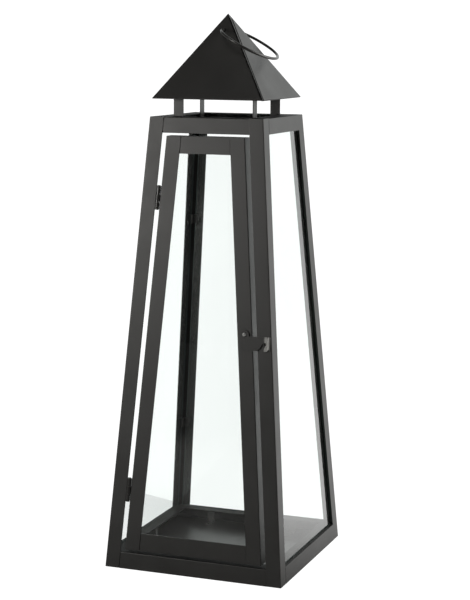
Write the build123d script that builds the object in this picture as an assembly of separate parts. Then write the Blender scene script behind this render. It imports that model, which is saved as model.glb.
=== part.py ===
"""Candle lantern: a tapered glass-sided lantern with a hinged door, a pyramid roof and a wire ring.

Millimetres. +Z is up, the door faces -Y, and the origin is the centre of the footprint on the ground.
Every sheet and angle in a leaning wall is measured level, along X or Y, so that pieces meet exactly.
"""

from build123d import *
import math
import os

# Overall size of the tapered body
base_width = 200.0
top_width = 126.0
body_height = 480.0

# Steel angle of the body frame
sheet = 1.2
post_flange = 16.0
top_rail_height = 16.5
top_rail_depth = 18.0
base_rail_height = 18.0
base_rail_depth = 16.0

# Floor plate and the bent clips that hold it under the base rails
floor_thickness = 1.0
floor_raise = 2.5
floor_clip_thickness = 0.8
floor_clip_width = 8.0
floor_clip_foot = 6.0
floor_clip_spread = 100.0

# Glass and the bent clips that hold it against the flanges
glass_thickness = 2.0
glass_set_back = 2.0
glass_edge_inset = 8.0
glass_top_clearance = 0.8
glass_clip_thickness = 0.8
glass_clip_height = 10.0
glass_clip_foot = 4.6
glass_clip_lip = 3.0
glass_clip_clearance = 0.4
glass_clip_inset = 120.0

# Door
door_side_gap = 5.0
door_end_gap = 3.0
door_stile_width = 16.5
door_top_rail_height = 18.0
door_bottom_rail_height = 19.0
door_leg_depth = 14.0
door_glass_lap = 5.0

# Butt hinges
hinge_height = 25.0
hinge_inset = 64.5
knuckle_gap = 0.3
hinge_pin_radius = 1.0
hinge_running_clearance = 0.05
hinge_pin_head_radius = 1.7
hinge_pin_head_height = 0.8
hinge_leaf_thickness = 1.0
hinge_swing_clearance = 0.5
frame_leaf_width = 13.0
door_leaf_depth = 8.0

# Swing latch on the door and its peg on the post
latch_level = 259.6
strap_thickness = 1.0
strap_stand_off = 0.5
strap_eye_radius = 5.0
strap_arm_height = 15.0
strap_arm_drop = 1.2
strap_arm_corner = 2.0
strap_back_reach = 4.0
strap_curl_radius = 3.0
strap_curl_angle = 70.0
strap_lip_length = 4.0
strap_lip_height = 13.0
strap_lip_corner = 3.5
strap_lip_hole_radius = 1.1
latch_rivet_radius = 1.25
latch_running_clearance = 0.05
latch_rivet_shoulder_radius = 2.2
latch_rivet_head_radius = 2.3
latch_rivet_head_height = 1.2
latch_rivet_tail_height = 0.7
keeper_radius = 1.5
keeper_length = 3.2
keeper_drop = 8.6
keeper_clearance = 0.4

# Roof, its four strip legs and the wire ring through its peak
roof_half_width = 61.25
roof_height = 88.0
roof_sheet = 1.0
vent_height = 19.0
roof_leg_width = 11.0
roof_leg_thickness = 1.0
roof_leg_corner_gap = 1.6
roof_leg_foot = 9.0
roof_leg_tab = 10.0
ring_wire_radius = 1.5
ring_hole_clearance = 0.35
ring_drop = 17.5
ring_bar_margin = 2.2
ring_half_width = 40.1
ring_reach = 60.2
ring_widest = 27.0
ring_tilt = 29.1

# Worked out from the sizes above
slope = (base_width - top_width) / 2 / body_height
base_glass_level = base_rail_height
door_bottom = base_rail_height + door_end_gap
door_top = body_height - top_rail_height - door_end_gap
eave_level = body_height + vent_height
roof_apex = eave_level + roof_height
roof_slope = roof_half_width / roof_height
glass_clip_levels = (glass_clip_inset, body_height - glass_clip_inset)
hinge_levels = {"lower": door_bottom + hinge_inset, "upper": door_top - hinge_inset}
hinge_axis_inset = post_flange + door_side_gap / 2
knuckle_radius = door_side_gap / 2 - knuckle_gap
top_opening_half = top_width / 2 - top_rail_depth
quarter_turns = {"front": 0, "right": 1, "rear": 2, "left": 3}


def half_width(level):
    """Half the width of the body at a level."""
    return base_width / 2 - slope * level


def door_half_width(level):
    """Half the width of the door at a level."""
    return half_width(level) - post_flange - door_side_gap


def pane_half_width(level):
    """Half the width of a wall's glass at a level."""
    return half_width(level) - glass_edge_inset


def door_pane_half_width(level):
    """Half the width of the door's glass at a level."""
    return door_half_width(level) - door_stile_width + door_glass_lap


def solid_from_faces(outlines):
    """Closed solid from the corner lists of its flat faces."""
    return Solid(Shell([Face(Wire.make_polygon(outline)) for outline in outlines]))


def tapered_block(low, high, bounds):
    """Block between two levels; bounds(level) gives its x_min, x_max, y_min and y_max there."""
    rings = []
    for level in (low, high):
        x_min, x_max, y_min, y_max = bounds(level)
        corners = [(x_min, y_min), (x_max, y_min), (x_max, y_max), (x_min, y_max)]
        rings.append([Vector(x, y, level) for x, y in corners])
    bottom, top = rings
    faces = [bottom, top]
    for index in range(4):
        after = (index + 1) % 4
        faces.append([bottom[index], bottom[after], top[after], top[index]])
    return solid_from_faces(faces)


def pyramid(half, low, apex):
    """Square pyramid on the centre line."""
    corners = [Vector(x, y, low) for x, y in ((-half, -half), (half, -half), (half, half), (-half, half))]
    tip = Vector(0, 0, apex)
    faces = [corners]
    for index in range(4):
        faces.append([corners[index], corners[(index + 1) % 4], tip])
    return solid_from_faces(faces)


def on_wall(piece, side):
    """Turn a piece made for the front wall round to another wall."""
    return piece.rotate(Axis.Z, 90 * quarter_turns[side])


def mirrored(piece):
    """The same piece on the other side of the centre plane X = 0."""
    return mirror(piece, about=Plane.YZ)


# ---------------------------------------------------------------- body frame


def corner_post():
    """Front left corner post: an angle whose two flanges lie in the front and left walls."""
    front_flange = tapered_block(0, body_height, lambda z: (
        -half_width(z), -half_width(z) + post_flange, -half_width(z), -half_width(z) + sheet))
    side_flange = tapered_block(0, body_height, lambda z: (
        -half_width(z), -half_width(z) + sheet, -half_width(z) + sheet, -half_width(z) + post_flange))
    return front_flange + side_flange


def frame_rail(low, high, shelf_edge, full_width):
    """Front rail: an upright flange between the posts and a level shelf along its top edge.

    The front and rear shelves run behind the posts, and the side shelves butt against them.
    """
    upright = tapered_block(low, high, lambda z: (
        post_flange - half_width(z), half_width(z) - post_flange, -half_width(z), -half_width(z) + sheet))

    def shelf_bounds(level):
        reach = half_width(level) - sheet if full_width else shelf_edge
        return -reach, reach, -half_width(level) + sheet, -shelf_edge

    return upright + tapered_block(high - sheet, high, shelf_bounds)


def top_rail(side):
    return on_wall(
        frame_rail(body_height - top_rail_height, body_height, top_opening_half, side in ("front", "rear")), side)


base_opening_half = half_width(base_rail_height) - base_rail_depth


def base_rail(side):
    return on_wall(frame_rail(0, base_rail_height, base_opening_half, side in ("front", "rear")), side)


def floor_plate():
    """Sheet floor inside the base rails."""
    return tapered_block(floor_raise, floor_raise + floor_thickness, lambda z: (
        sheet - half_width(z), half_width(z) - sheet, sheet - half_width(z), half_width(z) - sheet))


def floor_clip(offset):
    """Bent clip under the front rail's shelf: it hangs from the shelf and presses on the floor."""
    floor_top = floor_raise + floor_thickness
    shelf_underside = base_rail_height - sheet
    edge = -base_opening_half
    profile = Polyline(
        (edge - floor_clip_foot, shelf_underside),
        (edge, shelf_underside),
        (edge, floor_top + floor_clip_thickness),
        (edge + floor_clip_foot, floor_top + floor_clip_thickness),
        (edge + floor_clip_foot, floor_top),
        (edge - floor_clip_thickness, floor_top),
        (edge - floor_clip_thickness, shelf_underside - floor_clip_thickness),
        (edge - floor_clip_foot, shelf_underside - floor_clip_thickness),
        close=True)
    side_view = Plane(origin=(offset - floor_clip_width / 2, 0, 0), x_dir=(0, 1, 0), z_dir=(1, 0, 0))
    return extrude(side_view * make_face(profile), amount=floor_clip_width)


def floor_clips():
    """Two clips on the front and rear rails and one in the middle of each side rail."""
    clips = []
    for side in ("front", "rear"):
        for offset in (-floor_clip_spread / 2, floor_clip_spread / 2):
            clips.append(on_wall(floor_clip(offset), side))
    for side in ("left", "right"):
        clips.append(on_wall(floor_clip(0), side))
    return Compound(clips)


# ---------------------------------------------------------------- glass


def pane(low, high, reach, set_back):
    """Sheet of glass behind the front flanges, set back from them."""
    return tapered_block(low, high, lambda z: (
        -reach(z), reach(z), -half_width(z) + sheet + set_back, -half_width(z) + sheet + set_back + glass_thickness))


def glass_clip(level, reach, set_back):
    """Bent clip at the right edge of a front pane: foot on the flange, lip behind the glass.

    Where the glass is set back, a second lip in front of it keeps it off the flange.
    """
    low = level - glass_clip_height / 2
    high = level + glass_clip_height / 2
    step = glass_clip_thickness

    def foot_bounds(z):
        inner = reach(z) + glass_clip_clearance
        flange = -half_width(z) + sheet
        return inner, inner + glass_clip_foot, flange, flange + step

    def riser_bounds(z):
        inner = reach(z) + glass_clip_clearance
        flange = -half_width(z) + sheet
        return inner, inner + step, flange, flange + set_back + glass_thickness + step

    def lip_bounds(z):
        inner = reach(z) + glass_clip_clearance
        glass_back = -half_width(z) + sheet + set_back + glass_thickness
        return reach(z) - glass_clip_lip, inner, glass_back, glass_back + step

    def front_lip_bounds(z):
        inner = reach(z) + glass_clip_clearance
        glass_front = -half_width(z) + sheet + set_back
        return reach(z) - glass_clip_lip, inner, glass_front - step, glass_front

    foot = tapered_block(low, high, foot_bounds)
    riser = tapered_block(low, high, riser_bounds)
    lip = tapered_block(low, high, lip_bounds)
    clip = foot + riser + lip
    if set_back > step:
        clip += tapered_block(low, high, front_lip_bounds)
    return clip


def glass_clips(reach, set_back):
    """Clips at both edges of a front pane, at each clip level."""
    clips = []
    for level in glass_clip_levels:
        clip = glass_clip(level, reach, set_back)
        clips.append(clip)
        clips.append(mirrored(clip))
    return Compound(clips)


def wall_glass(side):
    top = body_height - sheet - glass_top_clearance
    return on_wall(pane(base_glass_level, top, pane_half_width, glass_set_back), side)


def wall_glass_clips(side):
    return on_wall(glass_clips(pane_half_width, glass_set_back), side)


# ---------------------------------------------------------------- door


def door_stile():
    """Left stile: a face flange, and a side flange along the outer edge that points into the lantern."""
    face = tapered_block(door_bottom, door_top, lambda z: (
        -door_half_width(z), -door_half_width(z) + door_stile_width, -half_width(z), -half_width(z) + sheet))
    side = tapered_block(door_bottom, door_top, lambda z: (
        -door_half_width(z), -door_half_width(z) + sheet, -half_width(z) + sheet, -half_width(z) + door_leg_depth))
    return face + side


def door_rail(low, high, leg_low):
    """Cross rail between the stiles: a face flange, and a level leg that starts at leg_low."""
    face = tapered_block(low, high, lambda z: (
        door_stile_width - door_half_width(z), door_half_width(z) - door_stile_width,
        -half_width(z), -half_width(z) + sheet))
    leg = tapered_block(leg_low, leg_low + sheet, lambda z: (
        sheet - door_half_width(z), door_half_width(z) - sheet,
        -half_width(z) + sheet, -half_width(z) + door_leg_depth))
    return face + leg


def door_glass():
    return pane(door_bottom + sheet, door_top - sheet - glass_top_clearance, door_pane_half_width, 0.0)


# ---------------------------------------------------------------- hinges


def hinge_plane(level):
    """Plane across the slanting hinge axis: its Z runs up the axis."""
    x = hinge_axis_inset - half_width(level)
    return Plane(origin=(x, -half_width(level), level), x_dir=(1, 0, -slope), z_dir=(slope, slope, 1))


knuckle_length = (hinge_height - 2 * knuckle_gap) / 3
knuckle_pitch = knuckle_length + knuckle_gap
frame_knuckles = (-knuckle_pitch, knuckle_pitch)
door_knuckles = (0.0,)


def barrel(level, offsets, radius, length):
    """Round lengths on the hinge axis, each centred at an offset from the hinge's middle."""
    return [hinge_plane(level) * Pos(0, 0, offset) * Cylinder(radius, length) for offset in offsets]


def hinge_leaf(level, plate, own_offsets, other_offsets):
    """A leaf: its plate, cut clear of the other leaf's knuckles, with its own knuckles and their bore."""
    swing_radius = knuckle_radius + hinge_swing_clearance
    swing_length = knuckle_length + 2 * knuckle_gap
    for gap in barrel(level, other_offsets, swing_radius, swing_length):
        plate -= gap
    for knuckle in barrel(level, own_offsets, knuckle_radius, knuckle_length):
        plate += knuckle
    bore_radius = hinge_pin_radius + hinge_running_clearance
    for bore in barrel(level, (0.0,), bore_radius, 2 * hinge_height):
        plate -= bore
    return plate


def leaf_levels(level):
    """Lowest and highest level of a leaf's plate, just inside the ends of the barrel."""
    reach = hinge_height / 2 - knuckle_gap
    return level - reach, level + reach


def hinge_frame_leaf(level):
    """Leaf fixed behind the front left post, with the top and bottom knuckles."""
    low, high = leaf_levels(level)
    plate = tapered_block(low, high, lambda z: (
        hinge_axis_inset - half_width(z) - frame_leaf_width, hinge_axis_inset - half_width(z),
        -half_width(z) + sheet, -half_width(z) + sheet + hinge_leaf_thickness))
    return hinge_leaf(level, plate, frame_knuckles, door_knuckles)


def hinge_door_leaf(level):
    """Leaf fixed to the outer face of the door stile's side flange, with the middle knuckle."""
    low, high = leaf_levels(level)
    plate = tapered_block(low, high, lambda z: (
        -door_half_width(z) - hinge_leaf_thickness, -door_half_width(z),
        -half_width(z) + knuckle_radius / 2, -half_width(z) + knuckle_radius / 2 + door_leaf_depth))
    return hinge_leaf(level, plate, door_knuckles, frame_knuckles)


def hinge_pin(level):
    """Pin with a flat head that rests on the top knuckle."""
    shank = Cylinder(hinge_pin_radius, hinge_height)
    head_centre = (hinge_height + hinge_pin_head_height) / 2
    head = Pos(0, 0, head_centre) * Cylinder(hinge_pin_head_radius, hinge_pin_head_height)
    return hinge_plane(level) * (shank + head)


# ---------------------------------------------------------------- latch


def front_plane(x, level):
    """Plane on the front wall's outer face: X to the right, Y up the wall, Z outwards."""
    return Plane(origin=(x, -half_width(level), level), x_dir=(1, 0, 0), z_dir=(0, -1, slope))


wall_stretch = math.hypot(1, slope)
latch_x = door_half_width(latch_level) - door_stile_width / 2
keeper_level = latch_level - keeper_drop
keeper_x = half_width(keeper_level) - post_flange / 2
keeper_right = keeper_x - latch_x
keeper_down = keeper_drop * wall_stretch
strap_end = keeper_right + keeper_radius + keeper_clearance + 2.0


def keeper_slot():
    """Curved slot, open at the arm's lower edge, that clears the peg as the strap swings up."""
    swing = math.hypot(keeper_right, keeper_down)
    half_slot = keeper_radius + keeper_clearance
    seat = Pos(keeper_right, -keeper_down) * Circle(half_slot)
    track = Circle(swing + half_slot) - Circle(swing - half_slot)
    reach = 2 * swing
    below_seat = make_face(Polyline(
        (0, 0),
        (keeper_right, -keeper_down),
        (2 * keeper_right, -2 * keeper_down),
        (0, -reach),
        close=True))
    return seat + (track & below_seat)


def strap_curl():
    """Finger lip at the strap's free end: a bend outwards, then a short rounded tab with a hole."""
    middle = strap_stand_off + strap_thickness / 2
    bend_centre_out = middle + strap_curl_radius
    angle = math.radians(strap_curl_angle)
    bend_end = (strap_end + strap_curl_radius * math.sin(angle), bend_centre_out - strap_curl_radius * math.cos(angle))
    tip = (bend_end[0] + strap_lip_length * math.cos(angle), bend_end[1] + strap_lip_length * math.sin(angle))
    bend = CenterArc((strap_end, bend_centre_out), strap_curl_radius, -90, strap_curl_angle)
    lip = Line(bend_end, tip)
    section = trace([bend, lip], line_width=strap_thickness)
    lip_middle = -strap_arm_drop - strap_lip_height / 2
    from_above = Plane(origin=(0, lip_middle + strap_lip_height / 2, 0), x_dir=(1, 0, 0), z_dir=(0, -1, 0))
    curl = extrude(from_above * section, amount=strap_lip_height)
    from_end = Plane(origin=(strap_end - 1, lip_middle, 0), x_dir=(0, 1, 0), z_dir=(1, 0, 0))
    tip_out = tip[1] + strap_thickness / 2
    rounded = from_end * RectangleRounded(strap_lip_height, 2 * tip_out, strap_lip_corner)
    curl &= extrude(rounded, amount=4 * strap_curl_radius + strap_lip_length)
    hole_out = (bend_end[1] + tip[1]) / 2
    hole = Pos(bend_end[0], lip_middle, hole_out) * Rot(0, 90, 0) * Cylinder(
        strap_lip_hole_radius, 4 * strap_curl_radius)
    return curl - hole


def latch_strap():
    """Flat strap that turns on the door's rivet; its arm crosses the gap and hooks over the peg."""
    arm_length = strap_end + strap_back_reach
    arm_middle = ((strap_end - strap_back_reach) / 2, -strap_arm_drop - strap_arm_height / 2)
    arm = Pos(*arm_middle) * RectangleRounded(arm_length, strap_arm_height, strap_arm_corner)
    hole = Circle(latch_rivet_radius + latch_running_clearance)
    outline = Circle(strap_eye_radius) + arm - hole - keeper_slot()
    plate = extrude(Pos(0, 0, strap_stand_off) * outline, amount=strap_thickness)
    return front_plane(latch_x, latch_level) * (plate + strap_curl())


def latch_rivet():
    """Shouldered rivet: tail behind the stile, shoulder under the strap, domed head in front of it."""
    head_base = strap_stand_off + strap_thickness + latch_running_clearance
    back = -sheet / wall_stretch
    shank = Pos(0, 0, (back + head_base) / 2) * Cylinder(latch_rivet_radius, head_base - back)
    shoulder_height = strap_stand_off - latch_running_clearance
    shoulder = Pos(0, 0, shoulder_height / 2) * Cylinder(latch_rivet_shoulder_radius, shoulder_height)
    tail = Pos(0, 0, back - latch_rivet_tail_height / 2) * Cylinder(latch_rivet_head_radius, latch_rivet_tail_height)
    head = Pos(0, 0, head_base + latch_rivet_head_height / 2) * Cylinder(
        latch_rivet_head_radius, latch_rivet_head_height)
    head = fillet(head.edges().sort_by(Axis.Z)[-1], 0.8 * latch_rivet_head_height)
    return front_plane(latch_x, latch_level) * (shank + shoulder + tail + head)


def latch_keeper():
    """Peg on the post that the strap's slot drops over."""
    peg = Pos(0, 0, keeper_length / 2) * Cylinder(keeper_radius, keeper_length)
    peg = fillet(peg.edges().sort_by(Axis.Z)[-1], keeper_radius / 2)
    return front_plane(keeper_x, keeper_level) * peg


def right_stile():
    """Right stile: the left one mirrored, with the rivet's hole."""
    hole = front_plane(latch_x, latch_level) * Cylinder(
        latch_rivet_radius + latch_running_clearance, 4 * sheet)
    return mirrored(door_stile()) - hole


# ---------------------------------------------------------------- roof and ring


def ring_level():
    return roof_apex - ring_drop


def roof_inside(level):
    """Half the width inside the roof at a level, carried on downwards below the eaves."""
    return (roof_apex - level) * roof_slope - roof_sheet


def roof_hollow(low):
    """The space inside the roof's sheet, carried on down to a level below the eaves."""
    return pyramid(roof_inside(low), low, roof_apex - roof_sheet / roof_slope)


def roof_cap():
    """Folded sheet pyramid, open below, with two holes near the peak for the ring."""
    outer = pyramid(roof_half_width, eave_level, roof_apex)
    hole = Pos(0, 0, ring_level()) * Rot(90, 0, 0) * Cylinder(
        ring_wire_radius + ring_hole_clearance, 2 * roof_half_width)
    return outer - roof_hollow(body_height) - hole


def roof_leg(side):
    """Flat strip welded to the top rail's shelf; its bent tab lies inside the roof, trimmed at the hip."""
    face = -top_opening_half
    bend_level = roof_apex - (top_opening_half + roof_sheet) / roof_slope
    tab_level = bend_level + roof_leg_tab
    foot_level = body_height - roof_leg_foot
    tab_face = -roof_inside(tab_level)
    profile = Polyline(
        (face, foot_level),
        (face, bend_level),
        (tab_face, tab_level),
        (tab_face + roof_leg_thickness, tab_level),
        (face + roof_leg_thickness, bend_level),
        (face + roof_leg_thickness, foot_level),
        close=True)
    left_edge = roof_leg_corner_gap - top_opening_half
    side_view = Plane(origin=(left_edge, 0, 0), x_dir=(0, 1, 0), z_dir=(1, 0, 0))
    strip = extrude(side_view * make_face(profile), amount=roof_leg_width)
    return on_wall(strip & roof_hollow(foot_level), side)


def handle_ring():
    """Closed wire oval: a straight bar through the roof, then two quarter ellipses on each side."""
    bar = ring_drop * roof_slope + ring_bar_margin
    side = ring_half_width - bar
    far = ring_reach - ring_widest
    path = Wire([
        Line((0, -bar), (0, bar)),
        EllipticalCenterArc((ring_widest, bar), ring_widest, side, start_angle=180, arc_size=-90),
        EllipticalCenterArc((ring_widest, 0), far, ring_half_width, start_angle=90, arc_size=-90),
        EllipticalCenterArc((ring_widest, 0), far, ring_half_width, start_angle=0, arc_size=-90),
        EllipticalCenterArc((ring_widest, -bar), ring_widest, side, start_angle=270, arc_size=-90),
    ])
    section = Plane(origin=(0, 0, 0), z_dir=(0, 1, 0)) * Circle(ring_wire_radius)
    ring = sweep(section, path=path)
    return Pos(0, 0, ring_level()) * Rot(0, ring_tilt, 0) * ring


# ---------------------------------------------------------------- assembly


def build_nodes():
    """Every node of the lantern by name."""
    nodes = {}
    post = corner_post()
    for name, side in (("front_left", "front"), ("front_right", "right"), ("rear_right", "rear"), ("rear_left", "left")):
        nodes[f"corner_post_{name}"] = on_wall(post, side)
        nodes[f"roof_leg_{name}"] = roof_leg(side)
    for side in quarter_turns:
        nodes[f"top_rail_{side}"] = top_rail(side)
        nodes[f"base_rail_{side}"] = base_rail(side)
    for side in ("left", "right", "rear"):
        nodes[f"glass_{side}"] = wall_glass(side)
        nodes[f"glass_clips_{side}"] = wall_glass_clips(side)
    nodes["floor_plate"] = floor_plate()
    nodes["floor_clips"] = floor_clips()
    nodes["roof_cap"] = roof_cap()
    nodes["handle_ring"] = handle_ring()

    nodes["door_stile_left"] = door_stile()
    nodes["door_stile_right"] = right_stile()
    nodes["door_rail_top"] = door_rail(door_top - door_top_rail_height, door_top, door_top - sheet)
    nodes["door_rail_bottom"] = door_rail(door_bottom, door_bottom + door_bottom_rail_height, door_bottom)
    nodes["glass_door"] = door_glass()
    nodes["glass_clips_door"] = glass_clips(door_pane_half_width, 0.0)
    for name, level in hinge_levels.items():
        nodes[f"hinge_{name}_frame_leaf"] = hinge_frame_leaf(level)
        nodes[f"hinge_{name}_door_leaf"] = hinge_door_leaf(level)
        nodes[f"hinge_{name}_pin"] = hinge_pin(level)
    nodes["latch_strap"] = latch_strap()
    nodes["latch_rivet"] = latch_rivet()
    nodes["latch_keeper"] = latch_keeper()
    return nodes


os.makedirs("parts", exist_ok=True)
for node_name, shape in build_nodes().items():
    export_step(shape, f"parts/{node_name}.step")
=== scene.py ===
import math

import bmesh
import bpy
from mathutils import Matrix, Vector


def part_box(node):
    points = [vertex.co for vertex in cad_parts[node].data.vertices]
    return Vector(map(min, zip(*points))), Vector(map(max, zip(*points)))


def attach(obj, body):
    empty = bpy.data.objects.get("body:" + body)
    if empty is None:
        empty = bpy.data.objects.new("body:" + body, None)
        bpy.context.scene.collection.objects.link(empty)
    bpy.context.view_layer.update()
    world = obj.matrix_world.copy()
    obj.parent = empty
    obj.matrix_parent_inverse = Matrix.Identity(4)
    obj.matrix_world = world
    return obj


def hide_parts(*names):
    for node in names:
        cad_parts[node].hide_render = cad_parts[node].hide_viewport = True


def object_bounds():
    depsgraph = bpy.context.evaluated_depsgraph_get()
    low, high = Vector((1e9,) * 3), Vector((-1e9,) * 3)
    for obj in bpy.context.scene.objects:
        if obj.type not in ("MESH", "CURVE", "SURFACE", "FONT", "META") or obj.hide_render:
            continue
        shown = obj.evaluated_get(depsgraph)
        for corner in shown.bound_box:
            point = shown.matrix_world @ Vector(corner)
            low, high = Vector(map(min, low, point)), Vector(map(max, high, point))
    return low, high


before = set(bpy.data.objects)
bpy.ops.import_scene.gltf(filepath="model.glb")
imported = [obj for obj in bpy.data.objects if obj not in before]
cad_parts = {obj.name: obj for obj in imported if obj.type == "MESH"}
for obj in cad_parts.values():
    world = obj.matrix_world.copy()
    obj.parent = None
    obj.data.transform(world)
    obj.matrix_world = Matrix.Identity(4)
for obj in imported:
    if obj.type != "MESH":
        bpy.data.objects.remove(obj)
cad_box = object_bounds()

# ---------------------------------------------------------------- studio
# The lantern stands on a white sweep. A large soft light from the right picks out its
# right-hand faces, and weaker ones from the front leave the front a shade darker.

camera_place = (0.634417, -1.658091, 0.558365)
camera_turn = 0.360375
camera_dip = 0.154912
camera_roll = 0.006178
camera_sensor = 36.0
camera_lens = 99.569

bpy.ops.object.select_all(action="DESELECT")
bpy.ops.object.camera_add()
camera = bpy.context.object
camera.name = "camera"
camera.data.sensor_width = camera_sensor
camera.data.lens = camera_lens
camera.matrix_world = (
    Matrix.Translation(camera_place)
    @ Matrix.Rotation(camera_turn, 4, "Z")
    @ Matrix.Rotation(math.pi / 2 - camera_dip, 4, "X")
    @ Matrix.Rotation(camera_roll, 4, "Z")
)
bpy.context.scene.camera = camera
bpy.context.scene.view_settings.view_transform = "Standard"


class Value:
    """One output of a shader node; sums on it add Math nodes."""

    def __init__(self, finish, socket):
        self.finish = finish
        self.socket = socket

    def joined(self, operation, first, second):
        return self.finish.node("Math", {"operation": operation}, {0: first, 1: second})

    def __add__(self, other):
        return self.joined("ADD", self, other)

    def __sub__(self, other):
        return self.joined("SUBTRACT", self, other)

    def __rsub__(self, other):
        return self.joined("SUBTRACT", other, self)

    def __mul__(self, other):
        return self.joined("MULTIPLY", self, other)

    __radd__ = __add__
    __rmul__ = __mul__


class Finish:
    """A node tree being put together, from its first node to its surface."""

    def __init__(self, owner):
        owner.use_nodes = True
        self.tree = owner.node_tree
        self.tree.nodes.clear()

    def node(self, kind, settings=None, sockets=None, output=0):
        """Add a node, set it up, feed its sockets with numbers or Values, and return one output."""
        made = self.tree.nodes.new("ShaderNode" + kind)
        for name, setting in (settings or {}).items():
            if name == "stops":
                self.set_stops(made.color_ramp.elements, setting)
            else:
                setattr(made, name, setting)
        for name, fed in (sockets or {}).items():
            if isinstance(fed, Value):
                self.tree.links.new(fed.socket, made.inputs[name])
            else:
                made.inputs[name].default_value = fed
        return Value(self, made.outputs[output]) if len(made.outputs) else None

    def set_stops(self, stops, wanted):
        """Move the two stops that a ramp starts with, and add the rest."""
        for index, (place, colour) in enumerate(wanted):
            stop = stops[index] if index < len(stops) else stops.new(place)
            stop.position = place
            stop.color = colour


floor_size = 12.0
floor_glow = (1.0, 1.0, 1.0, 1.0)
floor_bounce = (0.30, 0.30, 0.295, 1.0)
seen_strength = 1.12
sweep_start = -0.12
sweep_reach = 0.20
sweep_strength = 0.95

bpy.ops.object.select_all(action="DESELECT")
bpy.ops.mesh.primitive_plane_add(size=floor_size, location=(0.0, 0.0, cad_box[0].z))
floor = bpy.context.object
floor.name = "floor"
floor_paint = bpy.data.materials.new("white_sweep")
sweep = Finish(floor_paint)
sweep_place = sweep.node("TexCoord", output="Object")
sweep_depth = sweep.node("SeparateXYZ", sockets={0: sweep_place}, output="Y")
sweep_share = sweep.node("MapRange", sockets={
    "Value": sweep_depth, "From Min": sweep_start, "From Max": sweep_reach})
sweep_matt = sweep.node("BsdfDiffuse", sockets={"Color": floor_bounce})
sweep_lit = sweep.node("Emission", sockets={"Color": floor_glow, "Strength": sweep_share * sweep_strength})
sweep_bounce = sweep.node("AddShader", sockets={0: sweep_matt, 1: sweep_lit})
sweep_glow = sweep.node("Emission", sockets={"Color": floor_glow, "Strength": seen_strength})
straight_at = sweep.node("LightPath")
sweep_seen = sweep.node("MixShader", sockets={0: straight_at, 1: sweep_bounce, 2: sweep_glow})
sweep.node("OutputMaterial", sockets={"Surface": sweep_seen})
floor.data.materials.append(floor_paint)

backdrop_glow = (1.0, 1.0, 1.0, 1.0)
room_glow = (0.97, 1.0, 0.99, 1.0)
room_floor = 0.02
room_back = 1.05
room_back_start = 0.25
room_back_full = 0.95

studio = bpy.data.worlds.new("studio")
bpy.context.scene.world = studio
room = Finish(studio)
room_backdrop = room.node("Background", sockets={"Color": backdrop_glow, "Strength": seen_strength})
room_way = room.node("SeparateXYZ", sockets={0: room.node("TexCoord", output="Generated")}, output="Y")
room_share = room.node("MapRange", {"interpolation_type": "SMOOTHSTEP"}, {
    "Value": room_way, "From Min": room_back_start, "From Max": room_back_full})
room_strength = room_share * room_back + room_floor
room_light = room.node("Background", sockets={"Color": room_glow, "Strength": room_strength})
room_straight = room.node("LightPath")
room_seen = room.node("MixShader", sockets={0: room_straight, 1: room_light, 2: room_backdrop})
room.node("OutputWorld", sockets={"Surface": room_seen})

lamp_colour = (1.0, 0.985, 0.955)


def softbox(name, place, aim, width, height, power):
    """A flat studio light that faces a point on the lantern and stays out of the picture."""
    bpy.ops.object.light_add(type="AREA", location=place)
    light = bpy.context.object
    light.name = name
    light.data.shape = "RECTANGLE"
    light.data.size = width
    light.data.size_y = height
    light.data.energy = power
    light.data.color = lamp_colour
    light.rotation_euler = (Vector(aim) - Vector(place)).to_track_quat("-Z", "Y").to_euler()
    light.visible_camera = False


softbox("right_softbox", (1.8, 0.5, 1.0), (0.0, 0.0, 0.4), 1.6, 1.6, 39.0)
softbox("front_left_softbox", (-0.95, -1.3, 0.62), (0.0, 0.0, 0.45), 0.4, 0.5, 12.0)
softbox("front_top_softbox", (-0.1, -1.2, 1.7), (0.0, 0.0, 0.4), 0.7, 0.5, 3.2)
softbox("left_softbox", (-1.8, -0.2, 0.8), (0.0, 0.0, 0.35), 1.0, 1.4, 1.0)

# ---------------------------------------------------------------- corner posts
# Four uprights of 16 mm steel angle, bent from 1.2 mm sheet and powder-coated satin black.
# They lean in towards the top, one in each corner, and everything else is welded to them.
# Their inner faces take a rougher, duller coat whose darker colour is painted shade inside the lantern.

sheet = 0.0012
post_flange = 0.016
post_bend = 0.0014
edge_round = 0.00025

post_low, post_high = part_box("corner_post_front_left")
base_half = -post_low.x
body_height = post_high.z
top_half = post_flange - post_high.x
slope = (base_half - top_half) / body_height
lean = Vector((slope, slope, 1.0))

coat_black = (0.020, 0.0195, 0.0185, 1.0)
coat_worn = (0.050, 0.049, 0.047, 1.0)
coat_dust = (0.12, 0.118, 0.112, 1.0)
coat_pebble_scale = 1500.0
coat_pebble_height = 0.00003
coat_cloud_scale = 22.0
coat_dust_scale = 420.0


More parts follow.
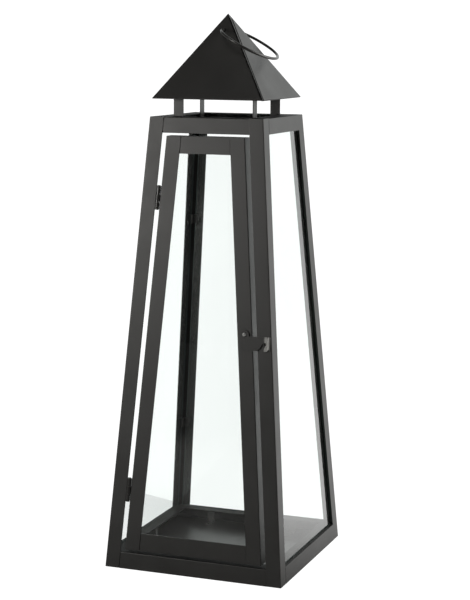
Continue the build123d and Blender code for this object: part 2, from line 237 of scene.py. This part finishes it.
def powder_coat(name, colour, edge_wear, roughness, shine):
    """Powder coat on steel: fine orange peel, soft clouds, a few specks of dust and worn edges."""
    paint = bpy.data.materials.new(name)
    coat = Finish(paint)
    place = coat.node("TexCoord", output="Object")
    pebble = coat.node("TexNoise", sockets={
        "Vector": place, "Scale": coat_pebble_scale, "Detail": 3.0, "Roughness": 0.55})
    cloud = coat.node("TexNoise", sockets={"Vector": place, "Scale": coat_cloud_scale, "Detail": 4.0})
    speck = coat.node("TexVoronoi", sockets={"Vector": place, "Scale": coat_dust_scale})
    dusty = coat.node("ValToRGB", {"stops": [(0.0, (1.0,) * 4), (0.10, (0.0, 0.0, 0.0, 1.0))]}, {0: speck})
    cloudy = coat.node("ValToRGB", {"stops": [(0.35, (0.0, 0.0, 0.0, 1.0)), (0.75, (1.0,) * 4)]}, {0: cloud})
    wear = coat.node("ValToRGB", {"stops": [(0.48, (0.0, 0.0, 0.0, 1.0)), (0.62, (1.0,) * 4)]}, {0: pebble})
    rubbed = coat.node("Mix", {"data_type": "RGBA"}, {
        0: wear * edge_wear + cloudy * 0.12, 6: colour, 7: coat_worn}, output=2)
    tint = coat.node("Mix", {"data_type": "RGBA"}, {
        0: dusty * cloudy * 0.35, 6: rubbed, 7: coat_dust}, output=2)
    bump = coat.node("Bump", sockets={
        "Strength": 0.55, "Distance": coat_pebble_height, "Height": pebble})
    surface = coat.node("BsdfPrincipled", sockets={
        "Base Color": tint,
        "Roughness": roughness + (cloudy - 0.5) * 0.10 + (pebble - 0.5) * 0.12,
        "IOR": shine,
        "Normal": bump})
    coat.node("OutputMaterial", sockets={"Surface": surface})
    return paint


frame_coat = powder_coat("frame_powder_coat", coat_black, 0.05, 0.44, 1.5)
frame_edge = powder_coat("frame_coat_edge", coat_black, 0.45, 0.40, 1.5)
# A rougher, less glossy coat in a darker colour: the darker colour is painted shade on inner faces, shelves,
# notches, the roof's underside and its seam.
painted_shade_coat = powder_coat("inside_painted_shade_coat", (0.0075, 0.0073, 0.007, 1.0), 0.03, 0.62, 1.22)


def half_width(level):
    """Half the width of the lantern's body at a level."""
    return base_half - slope * level


def pick(kind, test):
    """Select the faces or edges of the open mesh that pass a test on their middle and their normal or run."""
    bpy.ops.mesh.select_mode(type=kind)
    bpy.ops.mesh.select_all(action="DESELECT")
    mesh = bpy.context.object.data
    shape = bmesh.from_edit_mesh(mesh)
    if kind == "FACE":
        for face in shape.faces:
            face.select_set(test(face.calc_center_median(), face.normal))
    else:
        for edge in shape.edges:
            start, end = (corner.co for corner in edge.verts)
            edge.select_set(test((start + end) / 2, end - start))
    bmesh.update_edit_mesh(mesh)


def pull(offset):
    """Extrude what is selected in the open mesh."""
    bpy.ops.mesh.extrude_region_move(TRANSFORM_OT_translate={"value": offset})


sliver = 2e-6
sharp_bevel_angle = math.radians(32)
smooth_angle = math.radians(40)


def clear_slivers():
    """Merge corners that lie on each other and drop the faces that this leaves without area."""
    bpy.ops.object.mode_set(mode="EDIT")
    bpy.ops.mesh.select_mode(type="VERT")
    bpy.ops.mesh.select_all(action="SELECT")
    bpy.ops.mesh.remove_doubles(threshold=sliver)
    bpy.ops.mesh.dissolve_degenerate(threshold=sliver)
    bpy.ops.mesh.normals_make_consistent(inside=False)
    bpy.ops.object.mode_set(mode="OBJECT")


def shade_edges(piece):
    """Shade the broken edges smooth and keep the flat faces flat, whatever was cut before."""
    if piece.data.has_custom_normals:
        bpy.ops.mesh.customdata_custom_splitnormals_clear()
    bpy.ops.object.shade_smooth_by_angle(angle=smooth_angle)
    shading = piece.modifiers.new("shading", "WEIGHTED_NORMAL")
    shading.keep_sharp = True
    bpy.ops.object.modifier_apply(modifier="shading")


def close_up(name, round_off, coats):
    """Leave edit mode, turn the faces outwards, break the sharp edges and coat the piece."""
    bpy.ops.mesh.select_all(action="SELECT")
    bpy.ops.mesh.normals_make_consistent(inside=False)
    bpy.ops.object.mode_set(mode="OBJECT")
    piece = bpy.context.object
    piece.name = name
    for coat in coats:
        piece.data.materials.append(coat)
    if round_off:
        bevel = piece.modifiers.new("edges", "BEVEL")
        bevel.width = round_off
        bevel.segments = 2
        bevel.limit_method = "ANGLE"
        bevel.angle_limit = sharp_bevel_angle
        bevel.material = len(coats) - 1
        bpy.ops.object.modifier_apply(modifier="edges")
    clear_slivers()
    shade_edges(piece)
    return piece


def paint_inside_shade(piece, test):
    """Give the rougher, darker coat to the faces whose normal passes a test; its darker colour is painted
    shade.
    """
    for face in piece.data.polygons:
        if face.material_index == 0 and test(face.normal):
            face.material_index = 1


def copy_of(piece, name, quarter_turns=0, mirrored=False):
    """The same piece again with its own mesh, turned round the lantern or mirrored across it."""
    bpy.ops.object.select_all(action="DESELECT")
    piece.select_set(True)
    bpy.context.view_layer.objects.active = piece
    bpy.ops.object.duplicate()
    copy = bpy.context.object
    copy.name = name
    copy.rotation_euler.z = quarter_turns * math.pi / 2
    if mirrored:
        copy.scale.x = -1.0
    bpy.ops.object.transform_apply(location=True, rotation=True, scale=True)
    if mirrored:
        bpy.ops.object.mode_set(mode="EDIT")
        bpy.ops.mesh.select_all(action="SELECT")
        bpy.ops.mesh.normals_make_consistent(inside=False)
        bpy.ops.object.mode_set(mode="OBJECT")
        shade_edges(copy)
    return copy


def fit(piece, body, slot, *nodes):
    """Fix a finished piece to its body, in the place of its plain solids."""
    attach(piece, body)
    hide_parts(*nodes)


def steel_angle(corner, arm_x, arm_y, rise, bend):
    """Draw an angle's section flat at its foot, draw it out along its length and round its outer bend."""
    bpy.ops.object.select_all(action="DESELECT")
    bpy.ops.mesh.primitive_plane_add(size=sheet, location=corner + Vector((sheet / 2, sheet / 2, 0.0)))
    bpy.ops.object.transform_apply(location=True, rotation=True, scale=True)
    bpy.ops.object.mode_set(mode="EDIT")
    pick("EDGE", lambda middle, run: middle.x > corner.x + 0.9 * sheet)
    pull((arm_x - sheet, 0.0, 0.0))
    pick("EDGE", lambda middle, run: middle.y > corner.y + 0.9 * sheet and middle.x < corner.x + 0.9 * sheet)
    pull((0.0, arm_y - sheet, 0.0))
    bpy.ops.mesh.select_all(action="SELECT")
    pull(rise)
    bpy.ops.mesh.select_all(action="SELECT")
    bpy.ops.mesh.remove_doubles(threshold=1e-6)
    outer = corner + rise / 2
    pick("EDGE", lambda middle, run: (middle - outer).length < sheet / 2 and abs(run.z) > rise.z / 2)
    bpy.ops.mesh.bevel(offset=bend, segments=4, affect="EDGES")


def turned_round(first, quarter_names, body, slot):
    """Copies of a front or front left piece for the other corners or walls, all fixed to a body."""
    pieces = [first]
    for quarter, (name, node) in enumerate(quarter_names):
        if quarter:
            pieces.append(copy_of(first, name, quarter))
    for piece, (name, node) in zip(pieces, quarter_names):
        fit(piece, body, slot, node)


corner_names = ("front_left", "front_right", "rear_right", "rear_left")

steel_angle(Vector((-base_half, -base_half, 0.0)), post_flange, post_flange, lean * body_height, post_bend)
post = close_up("front_left_post", edge_round, (frame_coat, painted_shade_coat, frame_edge))
paint_inside_shade(post, lambda normal: max(normal.x, normal.y) > 0.5)
post_nodes = [(corner + "_post", "corner_post_" + corner) for corner in corner_names]
turned_round(post, post_nodes, "frame", "frame_angle")

# ---------------------------------------------------------------- top and base rails
# Eight cross pieces of the same steel angle, butted between the posts and welded to them.
# Their shelves lie level: at the top they carry the roof, and at the base they carry the glass.

rail_bend = 0.0008
cut_margin = 0.002


def open_block(low, high):
    """Add a block between two corners and open it for editing."""
    low, high = Vector(low), Vector(high)
    bpy.ops.object.select_all(action="DESELECT")
    bpy.ops.mesh.primitive_cube_add(size=1.0, location=(low + high) / 2, scale=high - low)
    bpy.ops.object.transform_apply(location=True, rotation=True, scale=True)
    bpy.ops.object.mode_set(mode="EDIT")


def trim(point, normal):
    """Saw the open mesh through, drop what lies on the normal's side and close the cut."""
    bpy.ops.mesh.select_all(action="SELECT")
    bpy.ops.mesh.bisect(plane_co=point, plane_no=normal, use_fill=True, clear_outer=True)


def score(point, normal):
    """Add a ring of edges round the open mesh where a plane crosses it."""
    bpy.ops.mesh.select_all(action="SELECT")
    bpy.ops.mesh.bisect(plane_co=point, plane_no=normal)


def leaning_plate(low, high, reach, front, thickness):
    """Open a plate in the front wall; reach is its half width at ground level, front its depth."""
    near = -base_half + slope * low + front
    far = -base_half + slope * high + front + thickness
    open_block((-reach, near - cut_margin, low), (reach, far + cut_margin, high))
    trim((0.0, front - base_half, 0.0), (0.0, -1.0, slope))
    trim((0.0, front + thickness - base_half, 0.0), (0.0, 1.0, -slope))
    for side in (-1.0, 1.0):
        trim((side * reach, 0.0, 0.0), (side, 0.0, slope))


joint_notch = 0.0006


def notch_left_end(reach, low, high):
    """Grind a notch along the front edge of a rail's left end, where it meets the upright."""
    def at_left_front(middle, run):
        beside = abs(middle.x + reach - slope * middle.z) < sheet / 4
        in_front = middle.y < -half_width(middle.z) + sheet / 4
        return beside and in_front and abs(run.z) > (high - low) / 2
    pick("EDGE", at_left_front)
    bpy.ops.mesh.bevel(offset=joint_notch, segments=1, affect="EDGES")


def paint_notch_shade(piece):
    """Give the notch the darker coat: painted shade in the groove at the joint."""
    for face in piece.data.polygons:
        if -0.92 < face.normal.x < -0.45 and face.normal.y < -0.35:
            face.material_index = 1


def frame_rail(name, low, high, shelf_edge, full_width):
    """A front rail: an upright between the posts and a level shelf along its top edge."""
    leaning_plate(low, high, base_half - post_flange, 0.0, sheet)
    inner_face = -half_width(high) + sheet
    score((0.0, 0.0, high - sheet), (0.0, 0.0, 1.0))
    if not full_width:
        for side in (-1.0, 1.0):
            score((side * shelf_edge, 0.0, 0.0), (side, 0.0, 0.0))
    pick("FACE", lambda middle, normal: (
        normal.y > 0.9 and middle.z > high - sheet and (full_width or abs(middle.x) < shelf_edge)))
    pull((0.0, -shelf_edge - inner_face + cut_margin, 0.0))
    trim((0.0, -shelf_edge, 0.0), (0.0, 1.0, 0.0))
    if full_width:
        for side in (-1.0, 1.0):
            pick("FACE", lambda middle, normal: normal.x * side > 0.9 and middle.y > inner_face + cut_margin)
            pull((side * (post_flange - sheet), 0.0, 0.0))
    pick("EDGE", lambda middle, run: (
        middle.z > high - sheet / 4 and middle.y < -half_width(high) + sheet / 2 and abs(run.x) > sheet))
    bpy.ops.mesh.bevel(offset=rail_bend, segments=3, affect="EDGES")
    notch_left_end(base_half - post_flange, low, high)
    rail = close_up(name, edge_round, (frame_coat, painted_shade_coat, frame_edge))
    # Painted shade: the rail's inner faces and its shelf's top and under faces take the darker coat.
    paint_inside_shade(rail, lambda normal: max(normal.y, abs(normal.z)) > 0.5)
    paint_notch_shade(rail)
    return rail


for level_name in ("top", "base"):
    rail_low, rail_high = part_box(level_name + "_rail_front")
    full = frame_rail("front_" + level_name + "_rail", rail_low.z, rail_high.z, -rail_high.y, True)
    short = frame_rail("right_" + level_name + "_rail", rail_low.z, rail_high.z, -rail_high.y, False)
    rear = copy_of(full, "rear_" + level_name + "_rail", 2)
    left = copy_of(short, "left_" + level_name + "_rail", 3)
    right = copy_of(short, "spare", 1)
    bpy.data.objects.remove(short)
    right.name = "right_" + level_name + "_rail"
    for rail, side in ((full, "front"), (right, "right"), (rear, "rear"), (left, "left")):
        fit(rail, "frame", "frame_angle", level_name + "_rail_" + side)

# ---------------------------------------------------------------- floor plate and its clips
# A sheet of black steel lies inside the base rails. Bent strips hang from the rails' shelves
# and press on it.


def finish_node(node, coat):
    """Put a finish on a solid that keeps its own shape."""
    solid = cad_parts[node]
    solid.data.materials.clear()
    solid.data.materials.append(coat)


floor_coat = powder_coat("floor_powder_coat", (0.016, 0.016, 0.0155, 1.0), 0.10, 0.34, 1.5)
floor_clip_coat = powder_coat("floor_clip_coat", coat_black, 0.30, 0.36, 1.5)
finish_node("floor_plate", floor_coat)
finish_node("floor_clips", floor_clip_coat)

# ---------------------------------------------------------------- glass
# Four panes of 2 mm float glass stand on the base rails behind the flanges, one of them in
# the door. The glass is clear with a faint green-blue cast, deepest at its cut edges.

glass_thickness = 0.002
glass_arris = 0.0003
glass_cast = (0.985, 0.997, 0.992, 1.0)
glass_edge_cast = (0.030, 0.050, 0.045, 1.0)
glass_edge_chip = (0.10, 0.14, 0.13, 1.0)
smear_scale = 9.0
smear_grain_scale = 60.0
smear_share = 0.02
film_share = 0.002
glass_index = 1.5
two_face_gloss = 1.7


def clear_glass(name):
    """Clean float glass: see-through, mirror-like at a low angle, with faint wiping smears."""
    pane = bpy.data.materials.new(name)
    glass = Finish(pane)
    place = glass.node("TexCoord", output="Object")
    drawn = glass.node("Mapping", sockets={"Vector": place, "Scale": (1.0, 1.0, 0.35)})
    smear = glass.node("TexNoise", sockets={"Vector": drawn, "Scale": smear_scale, "Detail": 5.0})
    grain = glass.node("TexNoise", sockets={"Vector": drawn, "Scale": smear_grain_scale, "Detail": 3.0})
    smeared = glass.node("ValToRGB", {"stops": [(0.45, (0.0, 0.0, 0.0, 1.0)), (0.8, (1.0,) * 4)]}, {
        0: smear * 0.7 + grain * 0.3})
    through = glass.node("BsdfTransparent", sockets={"Color": glass_cast})
    mirror = glass.node("BsdfGlossy", sockets={
        "Color": (1.0, 1.0, 1.0, 1.0), "Roughness": 0.02 + smeared * 0.06})
    film = glass.node("BsdfDiffuse", sockets={"Color": (0.75, 0.78, 0.77, 1.0)})
    gloss = glass.node("Fresnel", sockets={"IOR": glass_index})
    leaving = glass.node("NewGeometry", output=6)
    clean = glass.node("MixShader", sockets={
        0: gloss * (1 - leaving) * two_face_gloss, 1: through, 2: mirror})
    wiped = glass.node("MixShader", sockets={
        0: smeared * smear_share + film_share, 1: clean, 2: film})
    glass.node("OutputMaterial", sockets={"Surface": wiped})
    return pane


def cut_glass_edge(name):
    """The ground edge of a pane, where the length of glass behind it shows its green."""
    edge = bpy.data.materials.new(name)
    ground = Finish(edge)
    place = ground.node("TexCoord", output="Object")
    chips = ground.node("TexNoise", sockets={"Vector": place, "Scale": 900.0, "Detail": 4.0})
    depth = ground.node("Mix", {"data_type": "RGBA"}, {
        0: chips, 6: glass_edge_cast, 7: glass_edge_chip}, output=2)
    scratch = ground.node("Bump", sockets={"Strength": 0.4, "Distance": 0.00004, "Height": chips})
    body = ground.node("BsdfPrincipled", sockets={
        "Base Color": depth, "Roughness": 0.25 + chips * 0.3, "Normal": scratch})
    open_to_light = ground.node("BsdfTransparent", sockets={"Color": glass_edge_cast})
    surface = ground.node("MixShader", sockets={0: 0.55, 1: open_to_light, 2: body})
    ground.node("OutputMaterial", sockets={"Surface": surface})
    return edge


pane_face = clear_glass("float_glass")
pane_edge = cut_glass_edge("float_glass_edge")


def pane(name, low, high, reach, front):
    """A pane in the front wall, its cut edges in the edge finish."""
    leaning_plate(low, high, reach, front, glass_thickness)
    piece = close_up(name, glass_arris, (pane_face, pane_edge))
    for face in piece.data.polygons:
        if abs(face.normal.y) < 0.9:
            face.material_index = 1
    return piece


wall_low, wall_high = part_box("glass_rear")
wall_reach = wall_high.x + slope * wall_low.z
wall_set_back = half_width(wall_low.z) - wall_high.y
front_pane = pane("spare_pane", wall_low.z, wall_high.z, wall_reach, wall_set_back)
for quarter, side in ((1, "right"), (2, "rear"), (3, "left")):
    fit(copy_of(front_pane, side + "_pane", quarter), "frame", "glass", "glass_" + side)
bpy.data.objects.remove(front_pane)

clip_coat = powder_coat("glass_clip_coat", coat_black, 0.30, 0.40, 1.4)
for side in ("left", "right", "rear", "door"):
    finish_node("glass_clips_" + side, clip_coat)

# ---------------------------------------------------------------- door
# A narrower angle-steel frame with its own pane. Its rails butt between its stiles, and each
# angle's second leg points into the lantern.

door_stile_width = 0.0165

door_low, door_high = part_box("door_stile_left")
door_leg = door_high.y + half_width(door_high.z)
door_half = -door_low.x + slope * door_low.z

stile_foot = Vector((door_low.x, -half_width(door_low.z), door_low.z))
steel_angle(stile_foot, door_stile_width, door_leg, lean * (door_high.z - door_low.z), rail_bend)
left_stile = close_up("left_door_stile", edge_round, (frame_coat, painted_shade_coat, frame_edge))
paint_inside_shade(left_stile, lambda normal: max(normal.x, normal.y) > 0.5)
right_stile = copy_of(left_stile, "right_door_stile", mirrored=True)
fit(left_stile, "door", "door_angle", "door_stile_left")
fit(right_stile, "door", "door_angle", "door_stile_right")


def door_rail(name, low, high, leg_low):
    """A rail between the stiles: its face and a level leg that runs on behind the stiles."""
    leaning_plate(low, high, door_half - door_stile_width, 0.0, sheet)
    leg_middle = leg_low + sheet / 2
    inner_face = -half_width(leg_middle) + sheet
    score((0.0, 0.0, leg_low if leg_low > low else leg_low + sheet), (0.0, 0.0, 1.0))
    pick("FACE", lambda middle, normal: normal.y > 0.9 and abs(middle.z - leg_middle) < sheet / 2)
    pull((0.0, door_leg - sheet, 0.0))
    for side in (-1.0, 1.0):
        pick("FACE", lambda middle, normal: normal.x * side > 0.9 and middle.y > inner_face + cut_margin)
        pull((side * (door_stile_width - sheet), 0.0, 0.0))
    notch_left_end(door_half - door_stile_width, low, high)
    rail = close_up(name, edge_round, (frame_coat, painted_shade_coat, frame_edge))
    paint_inside_shade(rail, lambda normal: normal.y > 0.5)
    paint_notch_shade(rail)
    return rail


rail_low, rail_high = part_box("door_rail_top")
top_rail = door_rail("top_door_rail", rail_low.z, rail_high.z, rail_high.z - sheet)
fit(top_rail, "door", "door_angle", "door_rail_top")
rail_low, rail_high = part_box("door_rail_bottom")
bottom_rail = door_rail("bottom_door_rail", rail_low.z, rail_high.z, rail_low.z)
fit(bottom_rail, "door", "door_angle", "door_rail_bottom")
pane_low, pane_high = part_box("glass_door")
door_pane = pane("door_pane", pane_low.z, pane_high.z, pane_high.x + slope * pane_low.z, sheet)
fit(door_pane, "door", "glass", "glass_door")

# ---------------------------------------------------------------- hinges
# Two small pressed-steel butt hinges, coated with the frame. Their knuckles turn on plain
# pins, and the coat there is rubbed thin and shinier than on the flat steel.

hinge_coat = powder_coat("hinge_coat", coat_black, 0.35, 0.30, 1.5)
pin_coat = powder_coat("hinge_pin_coat", coat_worn, 0.60, 0.26, 1.5)
for level_name in ("upper", "lower"):
    finish_node("hinge_" + level_name + "_frame_leaf", hinge_coat)
    finish_node("hinge_" + level_name + "_door_leaf", hinge_coat)
    finish_node("hinge_" + level_name + "_pin", pin_coat)

# ---------------------------------------------------------------- latch
# A bent steel strap turns on a zinc-plated rivet in the door's right stile and drops over a
# peg on the post. Its turned-up lip is coloured pale steel: a painted highlight.

spangle_scale = 260.0
spangle_grain = 2400.0
zinc_light = (0.30, 0.30, 0.29, 1.0)
zinc_dark = (0.17, 0.172, 0.175, 1.0)


def zinc_plate(name, roughness):
    """Bright zinc on steel: faint spangles, a fine rolled grain and dull patches."""
    plating = bpy.data.materials.new(name)
    zinc = Finish(plating)
    place = zinc.node("TexCoord", output="Object")
    spangle = zinc.node("TexVoronoi", sockets={"Vector": place, "Scale": spangle_scale})
    grain = zinc.node("TexNoise", sockets={"Vector": place, "Scale": spangle_grain, "Detail": 3.0})
    tint = zinc.node("Mix", {"data_type": "RGBA"}, {
        0: spangle * 0.6 + grain * 0.4, 6: zinc_light, 7: zinc_dark}, output=2)
    bump = zinc.node("Bump", sockets={"Strength": 0.3, "Distance": 0.00002, "Height": grain})
    surface = zinc.node("BsdfPrincipled", sockets={
        "Base Color": tint, "Metallic": 0.9, "Roughness": roughness + grain * 0.15, "Normal": bump})
    zinc.node("OutputMaterial", sockets={"Surface": surface})
    return plating


lip_width = 0.0085
lip_fade = 0.0006
lip_noise_scale = 700.0
lip_raggedness = 0.0015


def latch_highlight_finish(name, lip_start):
    """Black strap whose lip, from lip_start to its end, is coloured pale metallic steel: a painted highlight.
    """
    paint = bpy.data.materials.new(name)
    strap = Finish(paint)
    place = strap.node("TexCoord", output="Object")
    along = strap.node("SeparateXYZ", sockets={0: place}, output="X")
    strap_noise = strap.node("TexNoise", sockets={"Vector": place, "Scale": lip_noise_scale, "Detail": 4.0})
    # Painted highlight: from lip_start on, the strap is coloured pale and made metallic.
    painted_lip_highlight = strap.node("MapRange", sockets={
        "Value": along + (strap_noise - 0.5) * lip_raggedness,
        "From Min": lip_start - lip_fade,
        "From Max": lip_start + lip_fade})
    tint = strap.node("Mix", {"data_type": "RGBA"}, {
        0: painted_lip_highlight * (strap_noise * 0.5 + 0.6), 6: coat_black, 7: zinc_light}, output=2)
    bump = strap.node("Bump", sockets={"Strength": 0.4, "Distance": 0.00003, "Height": strap_noise})
    surface = strap.node("BsdfPrincipled", sockets={
        "Base Color": tint, "Metallic": painted_lip_highlight * 0.7, "Roughness": 0.42 + (strap_noise - 0.5) * 0.2, "Normal": bump})
    strap.node("OutputMaterial", sockets={"Surface": surface})
    return paint


latch_coat = latch_highlight_finish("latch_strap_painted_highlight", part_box("latch_strap")[1].x - lip_width)
finish_node("latch_strap", latch_coat)
finish_node("latch_rivet", zinc_plate("rivet_zinc", 0.30))
finish_node("latch_keeper", hinge_coat)

# ---------------------------------------------------------------- roof
# A square pyramid folded from one sheet of black steel, open below. Its free edges meet in a
# narrow seam along the front right hip, and a wire ring passes through two holes near its peak.

roof_wall = 0.00082
roof_seam_width = 0.0016
roof_seam_depth = 0.0011
roof_seam_end = 0.005
ring_hole_radius = 0.00185
ring_drop = 0.0175

roof_low, roof_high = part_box("roof_cap")
roof_half = roof_high.x
roof_height = roof_high.z - roof_low.z
roof_slope = roof_half / roof_height
ring_level = roof_high.z - ring_drop

bpy.ops.object.select_all(action="DESELECT")
bpy.ops.mesh.primitive_cone_add(
    vertices=4, radius1=roof_half * math.sqrt(2), radius2=0.0, depth=roof_height,
    location=(0.0, 0.0, roof_low.z + roof_height / 2), rotation=(0.0, 0.0, math.pi / 4))
bpy.ops.object.transform_apply(location=True, rotation=True, scale=True)
bpy.ops.object.mode_set(mode="EDIT")
hip_foot = Vector((roof_half, -roof_half, roof_low.z))
hip = Vector((-roof_half, roof_half, roof_height)).normalized()
roof_front = Vector((0.0, -roof_height, roof_half)).normalized()
seam_side = hip.cross(roof_front).normalized()
seam_side *= -math.copysign(1.0, seam_side.x)
seam_line = hip_foot + seam_side * roof_seam_width
pick("FACE", lambda middle, normal: normal.y < -0.5)
bpy.ops.mesh.bisect(plane_co=seam_line, plane_no=seam_side)
pick("FACE", lambda middle, normal: normal.y < -0.5)
bpy.ops.mesh.bisect(plane_co=(0.0, 0.0, roof_high.z - roof_seam_end), plane_no=(0.0, 0.0, 1.0))
pick("FACE", lambda middle, normal: (
    normal.y < -0.5 and (middle - seam_line).dot(seam_side) < 0 and middle.z < roof_high.z - roof_seam_end))
pull((0.0, roof_seam_depth, 0.0))
bpy.ops.mesh.select_all(action="SELECT")
bpy.ops.mesh.normals_make_consistent(inside=False)
pick("FACE", lambda middle, normal: normal.z < -0.9)
bpy.ops.mesh.delete(type="FACE")
bpy.ops.object.mode_set(mode="OBJECT")
folded = bpy.context.object.modifiers.new("wall", "SOLIDIFY")
folded.thickness = roof_wall
folded.offset = -1.0
folded.use_even_offset = True
bpy.ops.object.modifier_apply(modifier="wall")
bpy.ops.object.mode_set(mode="EDIT")
roof = close_up("roof", edge_round, (frame_coat, painted_shade_coat, frame_edge))
# Painted shade: the roof's underside and the groove of its seam take the darker coat.
paint_inside_shade(roof, lambda normal: normal.z < 0.0)
for face in roof.data.polygons:
    in_seam = (face.center - seam_line).dot(seam_side) < 0 and face.center.z > roof_low.z + sheet
    if face.normal.y < -0.3 and in_seam:
        face.material_index = 1
bpy.ops.mesh.primitive_cylinder_add(
    vertices=32, radius=ring_hole_radius, depth=2 * roof_half,
    location=(0.0, 0.0, ring_level), rotation=(math.pi / 2, 0.0, 0.0))
drill = bpy.context.object
bpy.context.view_layer.objects.active = roof
holes = roof.modifiers.new("holes", "BOOLEAN")
holes.object = drill
holes.operation = "DIFFERENCE"
bpy.ops.object.modifier_apply(modifier="holes")
bpy.data.objects.remove(drill)
roof.select_set(True)
clear_slivers()
shade_edges(roof)
fit(roof, "frame", "roof_sheet", "roof_cap")

# ---------------------------------------------------------------- roof legs
# Four flat strips stand on the top rails' inner edges, one near each corner. Each bends over
# at the eave into a short tab, which is welded inside the roof and trimmed along its hip.

leg_width = 0.011
leg_thickness = 0.001
leg_tab = 0.010
leg_bend = 0.0008
roof_clearance = 0.001

leg_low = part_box("roof_leg_front_left")[0]
inside_peak = roof_high.z - roof_clearance / roof_slope
bend_level = inside_peak + leg_low.y / roof_slope
open_block(leg_low, (leg_low.x + leg_width, leg_low.y + leg_thickness, bend_level))
pick("FACE", lambda middle, normal: normal.z > 0.9)
pull((0.0, leg_tab * roof_slope, leg_tab))
pick("EDGE", lambda middle, run: abs(middle.z - bend_level) < leg_bend and abs(run.x) > leg_width / 2)
bpy.ops.mesh.bevel(offset=leg_bend, segments=4, affect="EDGES")
trim((0.0, 0.0, inside_peak), (-1.0, 0.0, roof_slope))
leg = close_up("front_left_roof_leg", edge_round / 2, (frame_coat, painted_shade_coat, frame_edge))
leg_nodes = [(corner + "_roof_leg", "roof_leg_" + corner) for corner in corner_names]
turned_round(leg, leg_nodes, "frame", "roof_sheet")

# ---------------------------------------------------------------- carrying ring
# A loop of 3 mm black wire: a straight bar lies in the roof's two holes, and a flattened oval
# hangs outside. It rests tipped down to the right.

wire_radius = 0.0015
ring_bar = 0.0144
ring_widest = 0.027
ring_half_width = 0.0401
ring_reach = 0.0602
ring_tilt = math.radians(29.1)
arc_handle = 0.5523

ring_points = (
    ((0.0, -ring_bar), (0.0, -ring_bar - arc_handle * (ring_half_width - ring_bar)), (0.0, -ring_bar / 3)),
    ((0.0, ring_bar), (0.0, ring_bar / 3), (0.0, ring_bar + arc_handle * (ring_half_width - ring_bar))),
    ((ring_widest, ring_half_width), (ring_widest * (1 - arc_handle), ring_half_width),
     (ring_widest + arc_handle * (ring_reach - ring_widest), ring_half_width)),
    ((ring_reach, 0.0),
     (ring_reach, arc_handle * ring_half_width),
     (ring_reach, -arc_handle * ring_half_width)),
    ((ring_widest, -ring_half_width),
     (ring_widest + arc_handle * (ring_reach - ring_widest), -ring_half_width),
     (ring_widest * (1 - arc_handle), -ring_half_width)),
)
bpy.ops.object.select_all(action="DESELECT")
bpy.ops.curve.primitive_bezier_circle_add(radius=ring_half_width)
ring = bpy.context.object
ring.name = "carrying_ring"
wire = ring.data.splines[0]
wire.bezier_points.add(len(ring_points) - len(wire.bezier_points))
for knot, (at, before, after) in zip(wire.bezier_points, ring_points):
    knot.handle_left_type = knot.handle_right_type = "FREE"
    knot.co = (*at, 0.0)
    knot.handle_left = (*before, 0.0)
    knot.handle_right = (*after, 0.0)
wire.resolution_u = 24
ring.data.bevel_depth = wire_radius
ring.data.bevel_resolution = 6
ring.rotation_euler.y = ring_tilt
ring.location.z = ring_level
bpy.ops.object.convert(target="MESH")
bpy.ops.object.transform_apply(location=True, rotation=True, scale=True)
ring = bpy.context.object
ring.data.materials.append(powder_coat("ring_wire_coat", coat_black, 0.20, 0.28, 1.5))
bpy.ops.object.shade_smooth_by_angle(angle=math.radians(60))
fit(ring, "ring", "ring_wire", "handle_ring")
